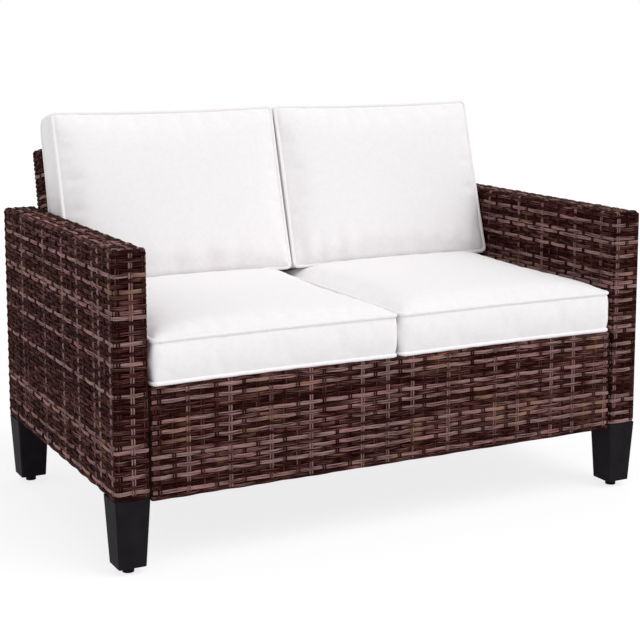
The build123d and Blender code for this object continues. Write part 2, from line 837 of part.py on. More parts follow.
for kind, cushion, place in (("seat", seat_cushion, seat_cushion_place), ("back", back_cushion, back_cushion_place)):
    pieces = {
        "cover": cushion.cover(),
        "foam": cushion.foam(),
        "piping": cushion.piping(),
        "zip_tape": cushion.zip_tape(),
        "zip_slider": cushion.zip_slider(),
    }
    for piece, shape in pieces.items():
        write_pair(f"{kind}_{piece}", Pos(cushion_middle, 0, 0) * place * shape)
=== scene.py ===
import math
import random

import bmesh
import bpy
import numpy as np
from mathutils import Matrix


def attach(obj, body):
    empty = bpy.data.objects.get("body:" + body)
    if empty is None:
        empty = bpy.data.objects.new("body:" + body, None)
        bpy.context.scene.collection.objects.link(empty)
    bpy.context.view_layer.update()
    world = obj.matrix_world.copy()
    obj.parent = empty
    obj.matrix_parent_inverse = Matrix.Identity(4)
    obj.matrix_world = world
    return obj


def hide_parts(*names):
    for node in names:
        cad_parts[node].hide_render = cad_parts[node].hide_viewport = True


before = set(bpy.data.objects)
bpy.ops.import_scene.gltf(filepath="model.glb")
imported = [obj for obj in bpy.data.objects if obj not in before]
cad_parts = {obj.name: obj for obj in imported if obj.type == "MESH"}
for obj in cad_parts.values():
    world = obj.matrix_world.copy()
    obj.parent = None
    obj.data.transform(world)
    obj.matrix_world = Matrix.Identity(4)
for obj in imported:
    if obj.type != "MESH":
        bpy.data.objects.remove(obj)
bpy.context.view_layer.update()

# Studio: the sofa stands on a pale floor under soft, even light. The lens is long, and the camera stands a
# little higher than the sofa's back, in front of the seat and round to its right-hand side.
scene = bpy.context.scene
scene.view_settings.view_transform = "Standard"
picture_size = 640
focal_length_pixels = 1459.0
camera_heading = math.radians(27.61)
camera_pitch = math.radians(7.85)

camera_data = bpy.data.cameras.new("camera")
camera_data.sensor_width = 36.0
camera_data.lens = focal_length_pixels / picture_size * camera_data.sensor_width
# A lens shifted down keeps the sofa's uprights nearly upright
camera_data.shift_y = -0.15
camera = bpy.data.objects.new("camera", camera_data)
camera.location = (-1.358, -2.607, 0.944)
camera.rotation_euler = (math.pi / 2 - camera_pitch, 0, -camera_heading)
scene.collection.objects.link(camera)
scene.camera = camera


def linear(code):
    """A colour written as it looks on screen, as the shader wants it."""
    parts = [int(code[place:place + 2], 16) / 255 for place in (1, 3, 5)]
    return (*(part / 12.92 if part <= 0.04045 else ((part + 0.055) / 1.055) ** 2.4 for part in parts), 1.0)


def add_node(tree, kind, inputs=None, **settings):
    """Adds one node with its settings, and feeds each named input with a value or another node's output."""
    made = tree.nodes.new(kind)
    for name, value in settings.items():
        setattr(made, name, value)
    for name, value in (inputs or {}).items():
        if isinstance(value, bpy.types.NodeSocket):
            tree.links.new(value, made.inputs[name])
        else:
            made.inputs[name].default_value = value
    return made


def seen_directly(tree):
    """One for a ray from the camera, a mirror or a glass, and nought for light that falls on things."""
    path = add_node(tree, "ShaderNodeLightPath")
    mirrored = add_node(
        tree, "ShaderNodeMath", {0: path.outputs["Is Camera Ray"], 1: path.outputs["Is Glossy Ray"]},
        operation="MAXIMUM",
    )
    return add_node(
        tree, "ShaderNodeMath", {0: mirrored.outputs[0], 1: path.outputs["Is Transmission Ray"]},
        operation="MAXIMUM",
    ).outputs[0]


# An even sky gives most of the light, and is seen as plain white.
sky_light = 0.6
world = bpy.data.worlds.new("studio")
world.use_nodes = True
world.node_tree.nodes.clear()
sky_strength = add_node(
    world.node_tree, "ShaderNodeMix",
    {"Factor": seen_directly(world.node_tree), 2: sky_light, 3: 1.0}, data_type="FLOAT",
)
sky = add_node(
    world.node_tree, "ShaderNodeBackground",
    {"Color": (1.0, 1.0, 1.0, 1.0), "Strength": sky_strength.outputs[0]},
)
add_node(world.node_tree, "ShaderNodeOutputWorld", {"Surface": sky.outputs[0]})
scene.world = world

# Each lamp has a strength, a spread in degrees and the way that its light goes
for lamp_name, strength, spread, aim in (
    ("key_light", 1.22, 40, (-0.4, 0.76, -1.3)),
    ("fill_light", 0.3, 70, (-0.8, 0.6, -0.3)),
    ("side_light", 0.42, 50, (0.85, -0.45, -0.25)),
):
    lamp_data = bpy.data.lights.new(lamp_name, "SUN")
    lamp_data.energy = strength
    lamp_data.angle = math.radians(spread)
    lamp = bpy.data.objects.new(lamp_name, lamp_data)
    across = math.atan2(aim[1], aim[0])
    down = math.atan2(-aim[2], math.hypot(aim[0], aim[1]))
    lamp.rotation_euler = (0, math.pi / 2 - down, across + math.pi)
    scene.collection.objects.link(lamp)

# The floor is matt card, whose own colour burns out to white and keeps a light shadow of the sofa.
card = bpy.data.materials.new("matt_white_card")
card.use_nodes = True
card.node_tree.nodes.clear()
card_face = add_node(
    card.node_tree, "ShaderNodeBsdfPrincipled",
    {"Base Color": linear("#eeeeee"), "Roughness": 0.9, "Specular IOR Level": 0.0},
)
card_glow = add_node(
    card.node_tree, "ShaderNodeEmission", {"Color": (1.0, 1.0, 1.0, 1.0), "Strength": 1.13},
)
card_both = add_node(
    card.node_tree, "ShaderNodeMixShader", {0: 0.7, 1: card_face.outputs[0], 2: card_glow.outputs[0]},
)
card_mix = add_node(
    card.node_tree, "ShaderNodeMixShader",
    {0: seen_directly(card.node_tree), 1: card_face.outputs[0], 2: card_both.outputs[0]},
)
add_node(card.node_tree, "ShaderNodeOutputMaterial", {"Surface": card_mix.outputs[0]})

far = 40.0
floor_mesh = bpy.data.meshes.new("studio_floor")
floor_mesh.from_pydata([(-far, -far, 0), (far, -far, 0), (far, far, 0), (-far, far, 0)], [], [(0, 1, 2, 3)])
floor_mesh.materials.append(card)
floor = bpy.data.objects.new("studio_floor", floor_mesh)
scene.collection.objects.link(floor)


# Frames: square steel tube, sawn and welded, with flat slats and lug plates, in matt dark powder coat.
# Powder coat is a thermoset plastic film with a fine orange peel.
def new_surface(name, colour, roughness, **settings):
    """A material with one shader, ready for its colour and bump to be wired in."""
    made = bpy.data.materials.new(name)
    made.use_nodes = True
    made.node_tree.nodes.clear()
    shader = add_node(
        made.node_tree, "ShaderNodeBsdfPrincipled", {"Base Color": linear(colour), "Roughness": roughness},
    )
    for socket, value in settings.items():
        shader.inputs[socket.replace("_", " ")].default_value = value
    add_node(made.node_tree, "ShaderNodeOutputMaterial", {"Surface": shader.outputs[0]})
    return made, made.node_tree, shader


def object_place(tree):
    """Where a point of the surface lies, in metres."""
    return add_node(tree, "ShaderNodeTexCoord").outputs["Object"]


def speckle(tree, size, detail=2.0):
    """A soft random pattern whose blobs have a size in metres."""
    return add_node(
        tree, "ShaderNodeTexNoise", {"Vector": object_place(tree), "Scale": 0.5 / size, "Detail": detail},
    ).outputs["Fac"]


def mottle(tree, shader, size, first, second):
    """Lets the colour drift between two, in soft clouds whose size is in metres."""
    ramp = add_node(tree, "ShaderNodeValToRGB", {"Fac": speckle(tree, size)})
    for element, position, code in zip(ramp.color_ramp.elements, (0.35, 0.65), (first, second)):
        element.position = position
        element.color = linear(code)
    tree.links.new(ramp.outputs["Color"], shader.inputs["Base Color"])


def raise_surface(tree, shader, height, depth, strength=1.0):
    """Bumps the surface by a pattern, to a depth in metres."""
    bump = add_node(tree, "ShaderNodeBump", {"Height": height, "Distance": depth, "Strength": strength})
    tree.links.new(bump.outputs["Normal"], shader.inputs["Normal"])


# The film is satin and a little uneven over 30 mm, and has orange peel about 2 mm across
powder_coat, tree, shader = new_surface("powder_coated_steel", "#2a2220", 0.5)
mottle(tree, shader, 0.03, "#261f1d", "#2f2724")
raise_surface(tree, shader, speckle(tree, 0.002), 0.00004, 0.6)


def give(names, material):
    """Paints solids of the frame that keep their shape."""
    for name in names:
        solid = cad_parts[name]
        solid.data.materials.clear()
        solid.data.materials.append(material)


give(
    ("left_arm_frame", "right_arm_frame", "apron_frame", "left_side_rail", "right_side_rail", "rear_rail",
     "centre_bearer", "seat_slats", "back_frame", "back_lugs"),
    powder_coat,
)

# Arms: extruded resin cane, woven over the frame. Each stake is a pair of narrow crowned strands that runs up
# one side, over the top and down the other, and flat wefts go round the whole arm between the stakes.
# The cane is pigmented polyethylene with a lengthwise grain, and each strand has its own plum or umber tone.
arm_size, arm_edge = (0.650, 0.066, 0.435), 0.009
arm_x, arm_y, arm_foot = 0.527, -0.007, 0.135
arm_stake_pitch, row_pitch = 0.0285, 0.00895
weft_width, weft_thickness, weft_crown, weft_rise = 0.0082, 0.0013, 0.62, 0.0011
stake_width, stake_thickness, stake_crown, stake_rise = 0.0036, 0.0016, 0.35, 0.0011
stake_half_gap = 0.0023
# The middle of the weave lies this deep in the panel, and the dark sheet of painted shade behind it this deep
skin_half = 0.0018
shade_sheet_depth, shade_sheet_corner, shade_sheet_thickness = 0.0034, 0.004, 0.0005
# The weft on the top edge swings this much further in and out, and is drawn in at the panel's corners
edge_swing, corner_draw = 1.7, 0.6


def cane_weave():
    """Node tree that turns centre lines into woven strands: sets them over and under, and sweeps the cane."""
    tree = bpy.data.node_groups.new("woven_cane", "GeometryNodeTree")
    for socket, kind in (
        ("Centre lines", "NodeSocketGeometry"), ("Strand width", "NodeSocketFloat"),
        ("Strand thickness", "NodeSocketFloat"), ("Crown share", "NodeSocketFloat"),
        ("Rise", "NodeSocketFloat"), ("Cane", "NodeSocketMaterial"),
    ):
        tree.interface.new_socket(socket, in_out="INPUT", socket_type=kind)
    tree.interface.new_socket("Strands", in_out="OUTPUT", socket_type="NodeSocketGeometry")
    start = add_node(tree, "NodeGroupInput").outputs
    inward = add_node(tree, "GeometryNodeInputNamedAttribute", {"Name": "inward"}, data_type="FLOAT_VECTOR")
    depth = add_node(tree, "GeometryNodeInputNamedAttribute", {"Name": "depth"}, data_type="FLOAT")
    breadth = add_node(tree, "GeometryNodeInputNamedAttribute", {"Name": "breadth"}, data_type="FLOAT")
    line = add_node(tree, "GeometryNodeMeshToCurve", {"Mesh": start["Centre lines"]})
    far_in = add_node(
        tree, "ShaderNodeMath", {0: depth.outputs["Attribute"], 1: start["Rise"]}, operation="MULTIPLY"
    )
    shift = add_node(
        tree, "ShaderNodeVectorMath", {0: inward.outputs["Attribute"], "Scale": far_in.outputs[0]},
        operation="SCALE",
    )
    woven = add_node(
        tree, "GeometryNodeSetPosition", {"Geometry": line.outputs[0], "Offset": shift.outputs[0]}
    )
    run = add_node(tree, "GeometryNodeInputTangent")
    sideways = add_node(
        tree, "ShaderNodeVectorMath", {0: inward.outputs["Attribute"], 1: run.outputs[0]},
        operation="CROSS_PRODUCT",
    )
    turned = add_node(
        tree, "GeometryNodeSetCurveNormal", {"Curve": woven.outputs[0], "Normal": sideways.outputs[0]},
        mode="FREE",
    )
    length = add_node(tree, "GeometryNodeSplineParameter")
    marked = add_node(
        tree, "GeometryNodeStoreNamedAttribute",
        {"Geometry": turned.outputs[0], "Name": "along", "Value": length.outputs["Length"]},
        data_type="FLOAT", domain="POINT",
    )
    crown = add_node(
        tree, "ShaderNodeMath", {0: start["Strand width"], 1: start["Crown share"]}, operation="MULTIPLY"
    )
    # The section's crown is its narrow side, and faces out of the panel
    section = add_node(
        tree, "GeometryNodeCurvePrimitiveQuadrilateral",
        {"Height": start["Strand thickness"], "Bottom Width": crown.outputs[0],
         "Top Width": start["Strand width"], "Offset": 0.0},
        mode="TRAPEZOID",
    )
    where = add_node(tree, "GeometryNodeInputPosition")
    parts = add_node(tree, "ShaderNodeSeparateXYZ", {0: where.outputs[0]})
    half = add_node(tree, "ShaderNodeMath", {0: start["Strand width"], 1: 0.5}, operation="MULTIPLY")
    share = add_node(tree, "ShaderNodeMath", {0: parts.outputs["X"], 1: half.outputs[0]}, operation="DIVIDE")
    edged = add_node(
        tree, "GeometryNodeStoreNamedAttribute",
        {"Geometry": section.outputs[0], "Name": "across", "Value": share.outputs[0]},
        data_type="FLOAT", domain="POINT",
    )
    swept = add_node(
        tree, "GeometryNodeCurveToMesh",
        {"Curve": marked.outputs[0], "Profile Curve": edged.outputs[0], "Scale": breadth.outputs["Attribute"],
         "Fill Caps": True},
    )
    smooth = add_node(
        tree, "GeometryNodeSetShadeSmooth", {"Geometry": swept.outputs[0], "Shade Smooth": True},
    )
    single = add_node(tree, "GeometryNodeRealizeInstances", {"Geometry": smooth.outputs[0]})
    painted = add_node(
        tree, "GeometryNodeSetMaterial", {"Geometry": single.outputs[0], "Material": start["Cane"]}
    )
    add_node(tree, "NodeGroupOutput", {"Strands": painted.outputs[0]})
    return tree


weave_tree = cane_weave()
corner_steps = 6


def rounded_path(corners, radius, facing, closed=False):
    """A line with rounded corners: its points, their sideways directions, and the length up to each.

    Facing is the way an eye looks square at the line's plane. Sideways is to the left of the way along the
    line, as that eye sees it, which on each line of a panel is inward."""
    corners = np.array(corners, float)
    facing = np.array(facing, float)
    points, inwards = [], []
    for index, corner in enumerate(corners):
        if not closed and index in (0, len(corners) - 1):
            ahead = corners[1] - corner if index == 0 else corner - corners[-2]
            points.append(corner)
            inwards.append(np.cross(ahead / np.linalg.norm(ahead), facing))
            continue
        came = corner - corners[index - 1]
        goes = corners[(index + 1) % len(corners)] - corner
        came, goes = came / np.linalg.norm(came), goes / np.linalg.norm(goes)
        turn = math.acos(max(-1.0, min(1.0, float(came @ goes))))
        bend = radius if np.cross(came, facing) @ goes < 0 else -radius
        centre = corner - came * radius * math.tan(turn / 2) - np.cross(came, facing) * bend
        for step in range(corner_steps + 1):
            angle = turn * step / corner_steps
            ahead = came * math.cos(angle) + (goes - came * math.cos(turn)) / math.sin(turn) * math.sin(angle)
            inward = np.cross(ahead, facing)
            points.append(centre + inward * bend)
            inwards.append(inward)
    if closed:
        points.append(points[0])
        inwards.append(inwards[0])
    points, inwards = np.array(points), np.array(inwards)
    lengths = np.concatenate([[0], np.cumsum(np.linalg.norm(np.diff(points, axis=0), axis=1))])
    return points, inwards, lengths


def reach(path, target):
    """How far along a line it comes nearest to a point."""
    points, _, lengths = path
    runs = points[1:] - points[:-1]
    sizes = np.einsum("ij,ij->i", runs, runs)
    shares = np.einsum("ij,ij->i", np.array(target) - points[:-1], runs) / np.maximum(sizes, 1e-18)
    shares = np.clip(shares, 0, 1)
    spots = points[:-1] + runs * shares[:, None]
    nearest = int(np.argmin(np.linalg.norm(spots - np.array(target), axis=1)))
    return lengths[nearest] + shares[nearest] * (lengths[nearest + 1] - lengths[nearest])


def grown(name, mesh, tree, given):
    """Runs a node tree on a mesh of lines, its inputs given by name, and keeps the result as a plain mesh."""
    made = bpy.data.objects.new(name, mesh)
    scene.collection.objects.link(made)
    growth = made.modifiers.new("growth", "NODES")
    growth.node_group = tree
    for socket in tree.interface.items_tree:
        if socket.in_out == "INPUT" and socket.name in given:
            growth[socket.identifier] = given[socket.name]
    evaluated = made.evaluated_get(bpy.context.evaluated_depsgraph_get())
    made.data = bpy.data.meshes.new_from_object(evaluated)
    made.modifiers.remove(growth)
    bpy.data.meshes.remove(mesh)
    return made


class Strands:
    """Centre lines of many strands, gathered for one piece."""

    def __init__(self, seed):
        self.random = random.Random(seed)
        self.points, self.edges = [], []
        self.facts = {"inward": [], "depth": [], "breadth": [], "tone": [], "strand": []}

    def tone(self, light):
        """A strand's own tone: dark umber near nought, light plum near one."""
        return self.random.uniform(0.6, 0.9) if light else self.random.uniform(0.0, 0.28)

    def add(self, path, crossings, steps, tone, closed=False, shift=(0, 0, 0), sway=0.0, sideways=(0, 0, 1)):
        """One strand on a path, under at a crossing of depth 1 and over at one of depth -1, in one tone."""
        points, inwards, lengths = path
        total = lengths[-1]
        crossings = sorted(crossings)
        first, last = crossings[0], crossings[-1]
        if closed:
            crossings = [(last[0] - total, last[1]), *crossings, (first[0] + total, first[1])]
        else:
            beyond = 0.02
            crossings = [(first[0] - beyond, first[1]), *crossings, (last[0] + beyond, last[1])]
        places, depths = (np.array(column) for column in zip(*crossings))
        # Every other point of the rounded corners is kept, and no other stop comes near one
        bends = [
            length for length, before, after in zip(lengths[1:-1], inwards, inwards[2:])
            if before @ after < 0.9999
        ][::2]
        near = 0.0012
        between = [
            stop for low, high in zip(places, places[1:]) for stop in np.linspace(low, high, steps + 1)[:-1]
        ]
        stops = [
            stop for stop in between if 0 < stop < total and all(abs(stop - bend) > near for bend in bends)
        ]
        stops = np.array(sorted(set(stops + bends + ([] if closed else [0.0, total]))))
        spots = np.stack([np.interp(stops, lengths, points[:, axis]) for axis in range(3)], 1)
        spots = spots + np.array(shift)
        # It was laid by hand, and wavers sideways in waves about 130 and 50 mm long
        first_turn, second_turn = self.random.uniform(0, 6.28), self.random.uniform(0, 6.28)
        waver = np.sin(stops / 0.021 + first_turn) * 0.6 + np.sin(stops / 0.0083 + second_turn) * 0.4
        spots += np.outer(waver * sway, np.array(sideways))
        inward = np.stack([np.interp(stops, lengths, inwards[:, axis]) for axis in range(3)], 1)
        inward /= np.linalg.norm(inward, axis=1, keepdims=True)
        gap = np.clip(np.searchsorted(places, stops, side="right") - 1, 0, len(places) - 2)
        share = (stops - places[gap]) / np.maximum(places[gap + 1] - places[gap], 1e-9)
        # It lies level for the first and last 12 % of the way between two crossings
        swing = (1 - np.cos(math.pi * np.clip((share - 0.12) / 0.76, 0, 1))) / 2
        depth = depths[gap] + (depths[gap + 1] - depths[gap]) * swing
        base, count = len(self.points), len(stops)
        self.points.extend(spots.tolist())
        self.edges.extend((base + step, base + step + 1) for step in range(count - 1))
        if closed:
            self.edges.append((base + count - 1, base))
        self.facts["inward"].extend(inward.tolist())
        self.facts["depth"].extend(depth.tolist())
        self.facts["breadth"].extend((0.95 + 0.05 * depth).tolist())
        self.facts["tone"].extend([tone] * count)
        self.facts["strand"].extend([self.random.random()] * count)

    def piece(self, name, axes, origin, width, thickness, crown, rise, material):
        """Sets the centre lines in place, sweeps the strands and makes them one plain mesh."""
        axes = np.array(axes, float)
        mesh = bpy.data.meshes.new(name)
        mesh.from_pydata((np.array(self.points) @ axes + np.array(origin)).tolist(), self.edges, [])
        for fact, values in self.facts.items():
            if fact == "inward":
                turned = np.array(values) @ axes
                mesh.attributes.new(fact, "FLOAT_VECTOR", "POINT").data.foreach_set("vector", turned.ravel())
            else:
                mesh.attributes.new(fact, "FLOAT", "POINT").data.foreach_set("value", values)
        return grown(name, mesh, weave_tree, {
            "Strand width": width, "Strand thickness": thickness, "Crown share": crown, "Rise": rise,
            "Cane": material,
        })


cane, tree, shader = new_surface("extruded_resin_cane", "#4a3532", 0.6)
shader.inputs["Specular IOR Level"].default_value = 0.015
tone = add_node(tree, "ShaderNodeAttribute", attribute_name="tone").outputs["Fac"]
along = add_node(tree, "ShaderNodeAttribute", attribute_name="along").outputs["Fac"]
across = add_node(tree, "ShaderNodeAttribute", attribute_name="across").outputs["Fac"]
strand = add_node(tree, "ShaderNodeAttribute", attribute_name="strand").outputs["Fac"]
# The cane has hardly any shine. Its grain is streaks about 40 mm long, different on every strand, and drawn
# over 1 mm wide on the wefts so that they show
streak_along = add_node(tree, "ShaderNodeMath", {0: along, 1: 26.0}, operation="MULTIPLY")
streak_across = add_node(tree, "ShaderNodeMath", {0: across, 1: 3.2}, operation="MULTIPLY")
streak_strand = add_node(tree, "ShaderNodeMath", {0: strand, 1: 97.0}, operation="MULTIPLY")
streak_place = add_node(
    tree, "ShaderNodeCombineXYZ",
    {"X": streak_along.outputs[0], "Y": streak_across.outputs[0], "Z": streak_strand.outputs[0]},
)
streak = add_node(
    tree, "ShaderNodeTexNoise", {"Vector": streak_place.outputs[0], "Scale": 1.0, "Detail": 2.0},
).outputs["Fac"]
edge = add_node(tree, "ShaderNodeMath", {0: across}, operation="ABSOLUTE").outputs[0]
# Both edges of a strand are a little raised, and are also drawn lighter in the colour as a painted highlight
# of the light they would catch
ridge_and_highlight = add_node(
    tree, "ShaderNodeMapRange",
    {"Value": edge, "From Min": 0.35, "From Max": 0.75, "To Min": 0.0, "To Max": 1.0},
    interpolation_type="SMOOTHSTEP",
).outputs[0]
streak_swing = add_node(
    tree, "ShaderNodeMapRange",
    {"Value": streak, "From Min": 0.35, "From Max": 0.65, "To Min": -0.42, "To Max": 0.42},
).outputs[0]
# The pigment is uneven, in cloudy patches about 100 mm long
cloud_along = add_node(tree, "ShaderNodeMath", {0: along, 1: 10.0}, operation="MULTIPLY")
cloud_place = add_node(
    tree, "ShaderNodeCombineXYZ", {"X": cloud_along.outputs[0], "Z": streak_strand.outputs[0]},
)
cloud = add_node(
    tree, "ShaderNodeTexNoise", {"Vector": cloud_place.outputs[0], "Scale": 1.0, "Detail": 1.0},
).outputs["Fac"]
cloud_swing = add_node(
    tree, "ShaderNodeMapRange",
    {"Value": cloud, "From Min": 0.3, "From Max": 0.7, "To Min": -0.2, "To Max": 0.2},
).outputs[0]
clouded = add_node(tree, "ShaderNodeMath", {0: tone, 1: cloud_swing}, operation="ADD").outputs[0]
toned = add_node(tree, "ShaderNodeMath", {0: clouded, 1: streak_swing}, operation="ADD").outputs[0]
# Painted highlight: the raised edges are made lighter in the colour
painted_edge_highlight = add_node(tree, "ShaderNodeMath", {0: ridge_and_highlight, 1: 0.16}, operation="MULTIPLY").outputs[0]
lit = add_node(tree, "ShaderNodeMath", {0: toned, 1: painted_edge_highlight}, operation="ADD", use_clamp=True).outputs[0]
ramp = add_node(tree, "ShaderNodeValToRGB", {"Fac": lit})
for position, code in ((0.3, "#3a1d1a"), (0.6, "#654643")):
    ramp.color_ramp.elements.new(position).color = linear(code)
ramp.color_ramp.elements[0].color = linear("#200706")
ramp.color_ramp.elements[-1].color = linear("#9c807e")
# A little of the cane is weathered towards tan, in patches a few centimetres long
tan_patch = add_node(
    tree, "ShaderNodeMapRange",
    {"Value": speckle(tree, 0.022, 1.0), "From Min": 0.58, "From Max": 0.7, "To Min": 0.0, "To Max": 0.6},
).outputs[0]
tan_share = add_node(tree, "ShaderNodeMath", {0: tan_patch, 1: tone}, operation="MULTIPLY").outputs[0]
coloured = add_node(
    tree, "ShaderNodeMix", {"Factor": tan_share, 6: ramp.outputs["Color"], 7: linear("#9c775d")},
    data_type="RGBA",
)
# Some lengths are redder
red_share = add_node(
    tree, "ShaderNodeMapRange",
    {"Value": cloud, "From Min": 0.5, "From Max": 0.62, "To Min": 0.0, "To Max": 0.5},
).outputs[0]
reddened = add_node(
    tree, "ShaderNodeMix", {"Factor": red_share, 6: coloured.outputs[2], 7: (1.12, 0.8, 0.82, 1.0)},
    data_type="RGBA", blend_type="MULTIPLY",
)
tree.links.new(reddened.outputs[2], shader.inputs["Base Color"])
grain = add_node(tree, "ShaderNodeMath", {0: streak, 1: ridge_and_highlight}, operation="ADD").outputs[0]
raise_surface(tree, shader, grain, 0.0005, 0.8)

# Behind the strands lies a dark sheet of painted shade, standing for the shade inside the hollow panel, seen
# only in the gaps
painted_shade_sheet, tree, shader = new_surface("shaded_cane_lap", "#1a0908", 0.8)
shader.inputs["Specular IOR Level"].default_value = 0.01
mottle(tree, shader, 0.004, "#150706", "#220e0c")
raise_surface(tree, shader, speckle(tree, 0.003), 0.0004)


def painted_shade_wall(name, path, ends, wall, axes, origin, caps):
    """Painted shade behind the strands: a thin dark wall swept straight between two ends, each with a plate.
    """
    points, inwards, _ = path
    count = len(points)
    low, high = (np.array((end, 0.0, 0.0)) for end in ends)
    outer = points - inwards * wall
    vertices = np.concatenate([points + low, points + high, outer + low, outer + high])
    faces = []
    for step in range(count - 1):
        after = step + 1
        faces.append((step, after, count + after, count + step))
        faces.append((2 * count + after, 2 * count + step, 3 * count + step, 3 * count + after))
        faces.append((after, step, 2 * count + step, 2 * count + after))
        faces.append((count + step, count + after, 3 * count + after, 3 * count + step))
    if np.linalg.norm(points[0] - points[-1]) > 1e-6:
        last = count - 1
        faces.append((0, count, 3 * count, 2 * count))
        faces.append((count + last, last, 2 * count + last, 3 * count + last))
    (through_low, up_low), (through_high, up_high) = caps
    for along, outward in ((ends[0], -1), (ends[1], 1)):
        base = len(vertices)
        block_corners = [
            (along + outward * deep, through, up)
            for deep in (0.0, -wall)
            for through, up in (
                (through_low, up_low), (through_high, up_low),
                (through_high, up_high), (through_low, up_high),
            )
        ]
        vertices = np.concatenate([vertices, np.array(block_corners)])
        faces += [tuple(base + corner for corner in face) for face in (
            (0, 1, 2, 3), (4, 5, 6, 7), (0, 1, 5, 4), (1, 2, 6, 5), (2, 3, 7, 6), (3, 0, 4, 7))]
    mesh = bpy.data.meshes.new(name)
    mesh.from_pydata((vertices @ np.array(axes, float) + np.array(origin)).tolist(), [], faces)
    mesh.materials.append(painted_shade_sheet)
    shape = bmesh.new()
    shape.from_mesh(mesh)
    bmesh.ops.remove_doubles(shape, verts=shape.verts, dist=1e-6)
    bmesh.ops.recalc_face_normals(shape, faces=shape.faces)
    shape.to_mesh(mesh)
    shape.free()
    made = bpy.data.objects.new(name, mesh)
    scene.collection.objects.link(made)
    return made


